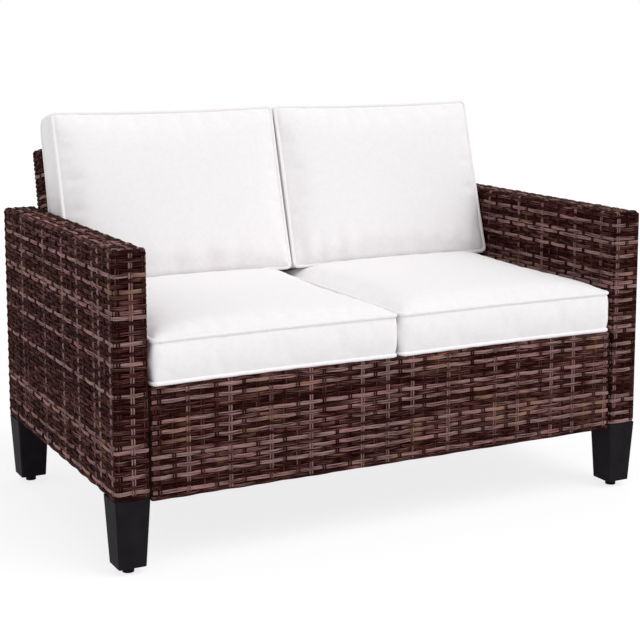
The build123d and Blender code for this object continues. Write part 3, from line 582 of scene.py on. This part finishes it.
def woven_panel(name, axes, origin, size, edge, stakes, rows, tops, ends, slot, light, end_depth, seed):
    """Weaves one panel over its frame: wefts, stakes and a dark sheet of painted shade behind them.

    The panel's own axes are along, through and up, and its origin is at the middle of its lower edge. Rows
    are counted down from its rounded top edge, tops is how many wefts lie along the top, and ends are the
    stakes of its narrow ends. Slot is half the gap left open along the underside. Light tells which wefts,
    stakes, top wefts and end stakes are of light cane."""
    half_length, half_through, height = size[0] / 2, size[1] / 2, size[2]
    light_rows, light_stakes, light_tops, light_ends = light
    along, through = half_length - skin_half, half_through - skin_half
    low, high = skin_half, height - skin_half
    bend = edge - skin_half
    inset = bend * (1 - math.sqrt(0.5))
    back_shift = tops + 1
    wefts, posts = Strands(seed), Strands(seed + 50)

    hoop_corners = [(0, through, low), (0, through, high), (0, -through, high), (0, -through, low)]
    if slot:
        hoop_corners = [(0, slot, low), *hoop_corners, (0, -slot, low)]
    hoop = rounded_path(hoop_corners, bend, (-1, 0, 0), closed=not slot)
    ring_corners = [(-along, through), (-along, -through), (along, -through), (along, through)]

    def under(parity):
        """The depth of a stake where it meets a weft: 1 under it, -1 over it. The weft's is the reverse."""
        return 1 if parity % 2 == 0 else -1

    # Wefts that go round: one lies aslant on the rounded top edge, drawn in, and the rest go down the sides
    courses = [(high - inset, inset), *((level, 0.0) for level in rows)]
    for row, (level, drawn_in) in enumerate(courses):
        corners = [
            (x - math.copysign(drawn_in, x), y - math.copysign(drawn_in, y), level) for x, y in ring_corners
        ]
        points, inwards, lengths = rounded_path(corners, bend - drawn_in, (0, 0, -1), closed=True)
        if drawn_in:
            inwards = (inwards - np.array((0, 0, 1.0))) / math.sqrt(2)
        ring = (points, inwards, lengths)
        crossings = []
        for index, place in enumerate(stakes):
            crossings.append((reach(ring, (place, through, level)), -under(row + index)))
            crossings.append((reach(ring, (place, -through, level)), -under(row + index + back_shift)))
        for index, place in enumerate(ends):
            crossings.append((reach(ring, (-along, place, level)), -under(row + len(stakes) + index)))
            crossings.append((reach(ring, (along, place, level)), -under(row + 1 + index)))
        if drawn_in:
            crossings = [(place, depth * edge_swing) for place, depth in crossings]
            for x, y in ring_corners:
                corner = (math.copysign(along - bend * 0.3, x), math.copysign(through - bend * 0.3, y), level)
                crossings.append((reach(ring, corner), corner_draw))
        wobble = wefts.random.uniform(-0.0003, 0.0003) if row else 0.0
        wefts.add(
            ring, crossings, 4, wefts.tone(row in light_rows), closed=True, shift=(0, 0, wobble), sway=0.0006,
        )

    # Wefts along the top (up is 1) and the underside (up is -1), whose ends dip under the ones that go round
    flat = through - bend
    top_places = [(flat + bend * 0.4) * (1 - 2 * (row + 0.5) / tops) for row in range(tops)]
    lanes = [(row + 1, place, high, -(row + 1), 1) for row, place in enumerate(top_places)]
    under_count = 2 if slot else tops
    for row in range(under_count):
        if slot:
            place = through - (row + 0.6) * (through - slot) / under_count
            lanes.append((row, place, low, len(courses) + row, -1))
            lanes.append((row, -place, low, back_shift + len(courses) + row, -1))
        else:
            lanes.append((row, top_places[row], low, len(courses) + row, -1))
    dip, lane_bend = 0.004, 0.004
    lane_end, lane_turn = along - 0.003, along - edge - 0.002
    for row, place, level, parity, up in lanes:
        dipped = level - up * dip
        corners = [
            (-lane_end, place, dipped), (-lane_turn, place, level), (lane_turn, place, level),
            (lane_end, place, dipped),
        ]
        lane = rounded_path(corners, lane_bend, (0, -up, 0))
        crossings = [
            (reach(lane, (station, place, level)), -under(parity + index))
            for index, station in enumerate(stakes)
        ]
        wefts.add(lane, crossings, 4, wefts.tone(up > 0 and row in light_tops))

    # Stakes: up one side, over the top and down the other
    for index, station in enumerate(stakes):
        crossings = []
        for row, (level, drawn_in) in enumerate(courses):
            crossings.append((reach(hoop, (0, through - drawn_in, level)), under(row + index)))
            crossings.append((reach(hoop, (0, drawn_in - through, level)), under(row + index + back_shift)))
        for row, place, level, parity, up in lanes:
            crossings.append((reach(hoop, (0, place, level)), under(parity + index)))
        tone = posts.tone(index in light_stakes)
        for half in (-1, 1):
            posts.add(
                hoop, crossings, 2, tone, closed=not slot, shift=(station + half * stake_half_gap, 0, 0),
                sway=0.0004, sideways=(1, 0, 0),
            )
    # Stakes of the narrow ends, turned in for 12 mm at the top and underneath
    turned_in = along - 0.012
    for face in (-1, 1):
        for index, place in enumerate(ends):
            parity = (len(stakes) if face < 0 else 1) + index
            corners = [
                (face * turned_in, place, low), (face * along, place, low), (face * along, place, high),
                (face * turned_in, place, high),
            ]
            post = rounded_path(corners, bend * 0.98, (0, face, 0))
            crossings = [
                (reach(post, (face * (along - drawn_in), place, level)), under(row + parity))
                for row, (level, drawn_in) in enumerate(courses)
            ]
            crossings.append((post[2][-1] - 0.003, -1))
            tone = posts.tone(face < 0 and index in light_ends)
            for half in (-1, 1):
                posts.add(post, crossings, 2, tone, shift=(0, half * stake_half_gap, 0))

    # The painted shade: a dark sheet behind the weave, in place of the shade inside the hollow panel
    shade_sheet_through, shade_sheet_low, shade_sheet_high = half_through - shade_sheet_depth, shade_sheet_depth, height - shade_sheet_depth
    shade_sheet_corners = [
        (0, shade_sheet_through, shade_sheet_low), (0, shade_sheet_through, shade_sheet_high), (0, -shade_sheet_through, shade_sheet_high),
        (0, -shade_sheet_through, shade_sheet_low),
    ]
    if slot:
        shade_sheet_corners = [(0, slot, shade_sheet_low), *shade_sheet_corners, (0, -slot, shade_sheet_low)]
    shade_sheet_path = rounded_path(shade_sheet_corners, shade_sheet_corner, (-1, 0, 0), closed=not slot)
    # The end plates stand 1 mm clear of the wall
    clear = 0.001
    caps = ((-shade_sheet_through + clear, shade_sheet_low + clear), (shade_sheet_through - clear, shade_sheet_high - clear))
    shade_sheet_reach = half_length - end_depth
    pieces = (
        wefts.piece(f"{name}_wefts", axes, origin, weft_width, weft_thickness, weft_crown, weft_rise, cane),
        posts.piece(
            f"{name}_stakes", axes, origin, stake_width, stake_thickness, stake_crown, stake_rise, cane,
        ),
        painted_shade_wall(f"{name}_lap", shade_sheet_path, (-shade_sheet_reach, shade_sheet_reach), shade_sheet_thickness, axes, origin, caps),
    )
    for made in pieces:
        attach(made, "root")
        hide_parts(f"{name}_wicker")


arm_rows = [0.43475 - row_pitch * row for row in range(1, 49)]
arm_stakes = [0.3182 - arm_stake_pitch * index for index in range(23)]
left_light = (
    {3, 6, 7, 10, 14, 16, 17, 20, 24, 26, 27, 30, 32, 34, 36, 42, 43, 46, 48},
    {2, 5, 7, 11, 14, 18, 21}, {1, 4}, {2},
)
right_light = (
    {5, 8, 12, 13, 18, 22, 28, 38, 39, 44, 47}, {4, 9, 13, 16, 19, 20, 22}, {2, 5}, {1},
)
for side, turn, end_stakes, light, seed in (
    ("left", 1, (0.022, 0.0, -0.022), left_light, 21),
    ("right", -1, (0.022, -0.002, -0.026), right_light, 22),
):
    woven_panel(
        f"{side}_arm", ((0, 1, 0), (turn, 0, 0), (0, 0, 1)), (turn * arm_x, arm_y, arm_foot), arm_size,
        arm_edge, arm_stakes, arm_rows, tops=7, ends=end_stakes, slot=0.007, light=light,
        end_depth=shade_sheet_depth, seed=seed,
    )

# Apron: a low panel of the same resin cane between the arms, under the cushions. It is woven right round its
# welded ladder frame, so that its ends stand close against the arms, and has its own run of light strands.
between_arms, between_edge = 0.987, 0.006
apron_through, apron_height, apron_row_pitch = 0.033, 0.200, 0.00894
stake_pitch = 0.0266
apron_light = (
    {1, 3, 7, 9, 11, 14, 16, 18, 21}, {2, 5, 8, 11, 15, 17, 19, 22, 26, 28, 31, 33, 36}, set(), set(),
)
woven_panel(
    "apron", ((1, 0, 0), (0, -1, 0), (0, 0, 1)), (0.0, -0.3135, 0.130),
    (between_arms, apron_through, apron_height), between_edge,
    [-0.4762 + stake_pitch * index for index in range(37)],
    [0.1899 - apron_row_pitch * row for row in range(22)], tops=2, ends=(), slot=0, light=apron_light,
    end_depth=0.0003, seed=23,
)

# Back: the same resin cane, woven over the welded frame that leans between the arms behind the cushions. The
# frame's lug plates come out through the weave at its ends, where they are bolted to the arms.
lean = math.radians(12.7)
back_up = (0.0, math.sin(lean), math.cos(lean))
back_out = (0.0, -math.cos(lean), math.sin(lean))
back_foot = (0.0, 0.15058, 0.14852)
back_length, back_through = 0.55764, 0.0615
back_rows = [back_length - 0.01 - row_pitch * row for row in range(61)]
back_random = random.Random(5)
back_light_rows = {row for row in range(62) if back_random.random() < 0.4}
back_light_stakes = {index for index in range(37) if back_random.random() < 0.35}
woven_panel(
    "back", ((1, 0, 0), back_out, back_up),
    tuple(foot - out * back_through / 2 for foot, out in zip(back_foot, back_out)),
    (between_arms, back_through, back_length), between_edge,
    [-0.4788 + stake_pitch * index for index in range(37)], back_rows, tops=6, ends=(0.014, -0.014), slot=0,
    light=(back_light_rows, back_light_stakes, {1, 4}, set()), end_depth=shade_sheet_depth, seed=24,
)

# Legs: hollow square pegs moulded in black polypropylene with a fine spark-eroded grain, each screwed into
# its arm by the stud in its top. The glides below are moulded in black nylon, and turn on their own studs.
leg_plastic, tree, shader = new_surface("moulded_polypropylene", "#1f1c1f", 0.55)
shader.inputs["Specular IOR Level"].default_value = 0.03
mottle(tree, shader, 0.02, "#1e1b1e", "#242124")
# Moulded grain, drawn about 0.8 mm across so that it shows
raise_surface(tree, shader, speckle(tree, 0.0008), 0.00005, 0.6)
corners = ("front_left", "front_right", "rear_left", "rear_right")
give([f"{corner}_leg" for corner in corners], leg_plastic)

# Smooth plastic with a faint moulded grain, drawn 0.6 mm across so that it shows
glide_plastic, tree, shader = new_surface("moulded_nylon", "#1d1b1c", 0.45)
shader.inputs["Specular IOR Level"].default_value = 0.05
mottle(tree, shader, 0.006, "#1a1819", "#222021")
raise_surface(tree, shader, speckle(tree, 0.0006), 0.00003, 0.5)
give([f"{corner}_glide" for corner in corners], glide_plastic)

# Fasteners: bright zinc-plated steel screws, washers and rivet nuts hold the frames together, studs of the
# same steel hold the legs and glides, and brass inserts in the legs' feet take the glides' studs.
# The plating is bright and faintly cloudy, with its grain drawn 0.7 mm across so that it shows
zinc, tree, shader = new_surface("zinc_plated_steel", "#b9bcc0", 0.34, Metallic=1.0)
mottle(tree, shader, 0.004, "#aaaeb3", "#c6c8ca")
raise_surface(tree, shader, speckle(tree, 0.0007), 0.00002, 0.5)
give(
    ("leg_studs", "seat_to_arm_washers", "seat_to_arm_bolts", "back_to_arm_washers", "back_to_arm_bolts",
     "seat_to_back_washers", "seat_to_back_bolts", "arm_rivet_nuts", "back_rivet_nuts",
     *(f"{corner}_glide_stud" for corner in corners)),
    zinc,
)
# The brass is bright yellow, with its tool marks drawn 0.5 mm across so that they show
brass, tree, shader = new_surface("turned_brass", "#b58a47", 0.3, Metallic=1.0)
mottle(tree, shader, 0.003, "#a87f40", "#c0954f")
raise_surface(tree, shader, speckle(tree, 0.0005), 0.00002, 0.5)
give(("leg_inserts",), brass)

# Cushions: foam blocks in sewn covers of off-white polyester canvas, with piped seams round both faces. The
# covers are cut a little full, so the faces crown and the sides pull in between the corners.
# The canvas is matt, and its white varies very little
canvas, tree, shader = new_surface("polyester_canvas", "#f7f4f5", 0.88)
shader.inputs["Specular IOR Level"].default_value = 0.2
mottle(tree, shader, 0.004, "#f5f3f4", "#f9f6f7")
# Threads of the canvas, drawn 2.4 mm apart so that they show close up. The bands of this pattern lie
# 2 pi / 20 apart at a scale of 1.
thread_spacing = 0.0024
threads = [
    add_node(
        tree, "ShaderNodeTexWave",
        {"Vector": object_place(tree), "Scale": 2 * math.pi / 20 / thread_spacing, "Distortion": 0.3},
        wave_type="BANDS", bands_direction=direction,
    ).outputs["Fac"]
    for direction in ("X", "Y", "Z")
]
two_ways = add_node(tree, "ShaderNodeMath", {0: threads[0], 1: threads[1]}, operation="ADD").outputs[0]
all_ways = add_node(tree, "ShaderNodeMath", {0: two_ways, 1: threads[2]}, operation="ADD").outputs[0]
raise_surface(tree, shader, all_ways, 0.0001, 0.25)

cushion_width, cushion_middle = 0.4885, 0.24575
seam_radius, piping_radius, seam_slack = 0.003, 0.004, 0.0006
pad_corner = 0.009
# Squares of a cover from side to side, and its steps from seam to seam
pad_cells, boxing_steps = 46, 8
# How far a face and the boxing may blow out, and how far the boxing is cut full, with and without a zip in it
face_give, boxing_give = 0.008, 0.003
zip_swell, boxing_swell = 0.0022, 0.0045


def pad_outline(u, v, half_x, half_y, draws):
    """Where a point of the square from -1 to 1 lies in a cover with round corners and drawn-in sides."""
    x, y = u * half_x, v * half_y
    corner_x, corner_y = half_x - pad_corner, half_y - pad_corner
    over_x, over_y = (abs(x) - corner_x) / pad_corner, (abs(y) - corner_y) / pad_corner
    if over_x > 0 and over_y > 0:
        x = math.copysign(corner_x + pad_corner * over_x * math.sqrt(1 - over_y ** 2 / 2), x)
        y = math.copysign(corner_y + pad_corner * over_y * math.sqrt(1 - over_x ** 2 / 2), y)
    first_draw, last_draw, side_draw = draws
    x -= u ** 3 * side_draw * (1 - v * v)
    y -= v ** 3 * (first_draw if v < 0 else last_draw) * (1 - u * u)
    return x, y


def blow_up(made, held, caps):
    """Inflates a sewn cover with its held points fixed, and no other point further off than its cap."""
    before = np.array([vertex.co for vertex in made.data.vertices])
    group = made.vertex_groups.new(name="held")
    group.add(held, 1.0, "REPLACE")
    cloth = made.modifiers.new("cloth", "CLOTH")
    settings = cloth.settings
    settings.quality = 6
    settings.mass = 0.3
    settings.tension_stiffness = settings.compression_stiffness = 12
    settings.shear_stiffness = 4
    settings.bending_stiffness = 0.6
    settings.air_damping = 3
    settings.use_pressure = True
    settings.uniform_pressure_force = 4
    settings.shrink_min = -0.012
    settings.vertex_group_mass = "held"
    settings.effector_weights.gravity = 0
    cloth.collision_settings.use_collision = False
    last_frame = 20
    cloth.point_cache.frame_start, cloth.point_cache.frame_end = 1, last_frame
    for frame_number in range(1, last_frame + 1):
        scene.frame_set(frame_number)
    evaluated = made.evaluated_get(bpy.context.evaluated_depsgraph_get())
    after = np.array([vertex.co for vertex in evaluated.data.vertices])
    made.modifiers.remove(cloth)
    made.vertex_groups.remove(group)
    moved = after - before
    far = np.linalg.norm(moved, axis=1, keepdims=True)
    moved *= np.where(far > 1e-9, caps * np.tanh(far / caps) / np.maximum(far, 1e-9), 1)
    made.data.vertices.foreach_set("co", (before + moved).ravel())
    made.data.update()
    scene.frame_set(1)


def boxed_pad(
    name, length, thickness, crown, flatness, fullness, taper, tuck, matrix, draws, folds, dent, seed,
):
    """Sews one cushion cover round its foam, and blows it up by cloth simulation between its fixed seams.

    Its first end is a back cushion's lower one and a seat cushion's rear one, and holds the zip. The top
    face crowns, stays flat further out with more flatness, and has its fullness towards the first end. Taper
    is the angle in degrees at which it nears the under face, and tuck draws the last end of the under face
    towards it. Draws are how far the first, last and side edges pull in. Folds are how deep the face creases
    above the first end, and a dent has a place and a depth."""
    half_x = cushion_width / 2 - seam_radius - seam_slack
    half_y = length / 2 - seam_radius - seam_slack
    count = pad_cells
    # The squares get smaller towards the seams
    spread = [
        math.sin(math.pi / 2 * (2 * step / count - 1)) * 0.35 + (2 * step / count - 1) * 0.65
        for step in range(count + 1)
    ]

    def tilted(x, y, level, v):
        angle = -math.radians(taper) * level / thickness
        tucked = tuck * max(0.0, (v - 0.8) / 0.2) ** 2 * max(0.0, 1 - level / thickness)
        return x, y * math.cos(angle), level + y * math.sin(angle) + tucked

    vertices, faces = [], []
    grid = {}
    for face, level in (("top", thickness - seam_radius), ("under", seam_radius)):
        for row in range(count + 1):
            for column in range(count + 1):
                u, v = spread[column], spread[row]
                x, y = pad_outline(u, v, half_x, half_y, draws)
                rise = ((1 - abs(u) ** flatness) * (1 - abs(v) ** flatness)) ** 0.42
                # Just inside the seams each face stands 3 mm out of them
                edge_lip = 0.003 * min(1.0, rise * 10)
                height = crown * rise * (1 - fullness * v) + edge_lip if face == "top" else -edge_lip
                grid[face, row, column] = len(vertices)
                vertices.append(tilted(x, y, level + height, v))
        for row in range(count):
            for column in range(count):
                square = [
                    grid[face, row, column], grid[face, row, column + 1], grid[face, row + 1, column + 1],
                    grid[face, row + 1, column],
                ]
                faces.append(square if face == "top" else square[::-1])
    rim = [(0, column) for column in range(count)] + [(row, count) for row in range(count)]
    rim += [(count, column) for column in range(count, 0, -1)] + [(row, 0) for row in range(count, 0, -1)]
    loops = [[grid["under", *spot] for spot in rim]]
    for step in range(1, boxing_steps):
        share = step / boxing_steps
        loop = []
        for row, column in rim:
            u, v = spread[column], spread[row]
            x, y = pad_outline(u, v, half_x, half_y, draws)
            swell = (zip_swell if row == 0 else boxing_swell) * math.sin(math.pi * share) ** 0.6
            out = math.hypot(u ** 9, v ** 9) or 1
            x, y = x + swell * u ** 9 / out, y + swell * v ** 9 / out
            loop.append(len(vertices))
            vertices.append(tilted(x, y, seam_radius + share * (thickness - 2 * seam_radius), v))
        loops.append(loop)
    loops.append([grid["top", *spot] for spot in rim])
    for lower, upper in zip(loops, loops[1:]):
        for step in range(len(rim)):
            after = (step + 1) % len(rim)
            faces.append((lower[step], lower[after], upper[after], upper[step]))
    mesh = bpy.data.meshes.new(name)
    mesh.from_pydata([tuple(matrix @ np.array((*vertex, 1.0)))[:3] for vertex in vertices], [], faces)
    mesh.polygons.foreach_set("use_smooth", [True] * len(faces))
    mesh.materials.append(canvas)
    made = bpy.data.objects.new(name, mesh)
    scene.collection.objects.link(made)

    # The seams and the zip's side of the boxing stay in place
    zip_rim = [loop[step] for loop in loops for step, (row, column) in enumerate(rim) if row == 0]
    held = set(loops[0] + loops[-1] + zip_rim)
    caps = np.full((len(vertices), 1), face_give)
    caps[2 * (count + 1) ** 2:] = boxing_give
    blow_up(made, sorted(held), caps)

    # Creases: short puckers beside the piping all round, long soft folds above the first end, and one dent
    pucker_reach, pucker_height = 0.012, 0.00025

    def ripple(waves, place):
        return sum(math.sin(pace * 6.28 * place + turn) for pace, turn in waves)

    draw = random.Random(seed)
    waves = [(draw.uniform(26, 44), draw.uniform(0, 6.28)) for _ in range(4)]
    long_waves = [(draw.uniform(11, 23), draw.uniform(0, 6.28)) for _ in range(3)]
    outward = matrix[:3, 2]
    for row in range(1, count):
        for column in range(1, count):
            u, v = spread[column], spread[row]
            x, y = u * half_x, v * half_y
            off_side, off_end = half_x - abs(x), half_y - abs(y)
            pucker = ripple(waves, y) * math.exp(-off_side / pucker_reach)
            pucker += ripple(waves, x) * math.exp(-off_end / pucker_reach)
            # The folds are deepest 30 mm from the end
            fold = ripple(long_waves, x) / 3
            fold *= folds * math.exp(-((y + half_y - 0.03) / 0.035) ** 2)
            sink = -dent[2] * math.exp(-((u - dent[0]) / 0.1) ** 2 - ((v - dent[1]) / 0.3) ** 2)
            vertex = made.data.vertices[grid["top", row, column]]
            vertex.co = np.array(vertex.co) + outward * (pucker_height * pucker + fold + sink)
    made.data.update()
    seams = [[np.array(made.data.vertices[index].co) for index in loop] for loop in (loops[0], loops[-1])]
    smooth = made.modifiers.new("smooth", "SUBSURF")
    smooth.levels = smooth.render_levels = 1
    columns = [[grid["top", row, column] for row in range(count + 1)] for column in range(count + 1)]
    return made, seams, columns


def press(pad, columns, front, rear):
    """Sinks the rear of a seat cushion under the back cushion that stands on it.

    Front and rear are points on the lower edges of the back cushion's two seams."""
    before_seam, slope, below_seam = 0.003, 0.004, 0.0045
    crease = front[1] - before_seam
    for column in columns[1:-1]:
        points = [np.array(pad.data.vertices[index].co) for index in column]
        behind = [place for place, point in enumerate(points) if point[1] > crease]
        if not behind:
            continue
        first = max(behind)
        ahead = first + 1
        share = (crease - slope - points[first][1]) / (points[ahead][1] - points[first][1])
        moved = points[first] + (points[ahead] - points[first]) * share
        for place in behind:
            point = points[place].copy()
            if place == first:
                point[1] = crease + before_seam
            along_base = (point[1] - front[1]) / (rear[1] - front[1])
            point[2] = min(point[2], front[2] + (rear[2] - front[2]) * along_base - below_seam)
            pad.data.vertices[column[place]].co = point
        pad.data.vertices[column[ahead]].co = moved
    pad.data.update()


def piping_tree():
    """Node tree that turns a seam line into a round piping cord in its sewn sleeve."""
    tree = bpy.data.node_groups.new("piped_seam", "GeometryNodeTree")
    for socket, kind in (
        ("Seam", "NodeSocketGeometry"), ("Piping radius", "NodeSocketFloat"),
        ("Canvas", "NodeSocketMaterial"),
    ):
        tree.interface.new_socket(socket, in_out="INPUT", socket_type=kind)
    tree.interface.new_socket("Piping", in_out="OUTPUT", socket_type="NodeSocketGeometry")
    start = add_node(tree, "NodeGroupInput").outputs
    line = add_node(tree, "GeometryNodeMeshToCurve", {"Mesh": start["Seam"]})
    ring = add_node(
        tree, "GeometryNodeCurvePrimitiveCircle", {"Resolution": 10, "Radius": start["Piping radius"]},
    )
    swept = add_node(
        tree, "GeometryNodeCurveToMesh", {"Curve": line.outputs[0], "Profile Curve": ring.outputs[0]},
    )
    smooth = add_node(
        tree, "GeometryNodeSetShadeSmooth", {"Geometry": swept.outputs[0], "Shade Smooth": True},
    )
    single = add_node(tree, "GeometryNodeRealizeInstances", {"Geometry": smooth.outputs[0]})
    painted = add_node(
        tree, "GeometryNodeSetMaterial", {"Geometry": single.outputs[0], "Material": start["Canvas"]},
    )
    add_node(tree, "NodeGroupOutput", {"Piping": painted.outputs[0]})
    return tree


seam_tree = piping_tree()


def piping_piece(name, seams):
    """Both piped seams of one cushion, a little outside the line where its faces and its boxing meet."""
    outside = 0.0002
    points, edges = [], []
    for seam in seams:
        base = len(points)
        line = np.array(seam)
        centre = line.mean(axis=0)
        away = line - centre
        away /= np.linalg.norm(away, axis=1, keepdims=True)
        points.extend((line + away * outside).tolist())
        edges.extend((base + step, base + (step + 1) % len(seam)) for step in range(len(seam)))
    mesh = bpy.data.meshes.new(name)
    mesh.from_pydata(points, edges, [])
    return grown(name, mesh, seam_tree, {"Piping radius": piping_radius, "Canvas": canvas})


def placed(x_axis, y_axis, z_axis, origin):
    """The matrix that sets a cushion's own axes in the room."""
    matrix = np.eye(4)
    for column, axis in enumerate((x_axis, y_axis, z_axis, origin)):
        matrix[:3, column] = axis
    return matrix


seat_length, seat_thickness, seat_middle_y, seat_level = 0.52047, 0.081, -0.07076, 0.3303
back_pad_length, back_pad_thickness, back_pad_start = 0.353, 0.089, 0.26583
back_pad_centre = [
    foot + up * (back_pad_start + back_pad_length / 2) + out * 0.0003
    for foot, up, out in zip(back_foot, back_up, back_out)
]
for side, turn in (("left", 1), ("right", -1)):
    seat_place = placed((-1, 0, 0), (0, -1, 0), (0, 0, 1), (turn * cushion_middle, seat_middle_y, seat_level))
    back_place = placed(
        (1, 0, 0), back_up, back_out, (turn * cushion_middle, back_pad_centre[1], back_pad_centre[2])
    )
    back_pad = boxed_pad(
        f"{side}_back_cushion_cover", back_pad_length, back_pad_thickness, crown=0.0195, flatness=3.6,
        fullness=0.12, taper=3.7, tuck=0.018, matrix=back_place, draws=(0.002, 0.0035, 0.0015), folds=0.0075,
        dent=(turn * 0.9, -0.75, 0.007), seed=31 + turn,
    )
    seat_pad = boxed_pad(
        f"{side}_seat_cushion_cover", seat_length, seat_thickness, crown=0.0195, flatness=4.6,
        fullness=0.22, taper=0.0, tuck=0.0, matrix=seat_place, draws=(0.007, 0.005, 0.004), folds=0.0,
        dent=(0.0, 0.0, 0.0), seed=41 + turn,
    )
    # A low point of the front seam and a low point of the rear one
    front_seam, rear_seam = (
        sorted(seam, key=lambda point: float(point @ np.array(back_up)))[len(seam) // 12]
        for seam in back_pad[1][::-1]
    )
    press(seat_pad[0], seat_pad[2], front_seam, rear_seam)
    for kind, (pad, seams, _), fill in (("seat", seat_pad, 0.8), ("back", back_pad, 0.75)):
        piping = piping_piece(f"{side}_{kind}_cushion_piping", seams)
        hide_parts(f"{side}_{kind}_cover", f"{side}_{kind}_foam")
        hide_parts(f"{side}_{kind}_piping")
        for made in (pad, piping):
            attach(made, f"{side}_{kind}_cushion")

# Zips: a woven polyester tape, sewn into the boxing at the rear of a seat cushion or at the lower end of a
# back cushion, and a moulded slider with its pull that runs along it.
# The tape is matt, with its weave drawn 1 mm across so that it shows
zip_tape, tree, shader = new_surface("woven_zip_tape", "#e6e3e3", 0.7)
mottle(tree, shader, 0.005, "#dfdcdc", "#ebe8e8")
raise_surface(tree, shader, speckle(tree, 0.001), 0.0001, 0.6)
give([f"{side}_{kind}_zip_tape" for side in ("left", "right") for kind in ("seat", "back")], zip_tape)
# The slider is satin plastic with a faint moulded grain, drawn 0.6 mm across so that it shows
zip_slider, tree, shader = new_surface("moulded_acetal", "#d9d6d6", 0.35)
mottle(tree, shader, 0.004, "#d2cfcf", "#dfdcdc")
raise_surface(tree, shader, speckle(tree, 0.0006), 0.00003, 0.5)
give([f"{side}_{kind}_zip_slider" for side in ("left", "right") for kind in ("seat", "back")], zip_slider)
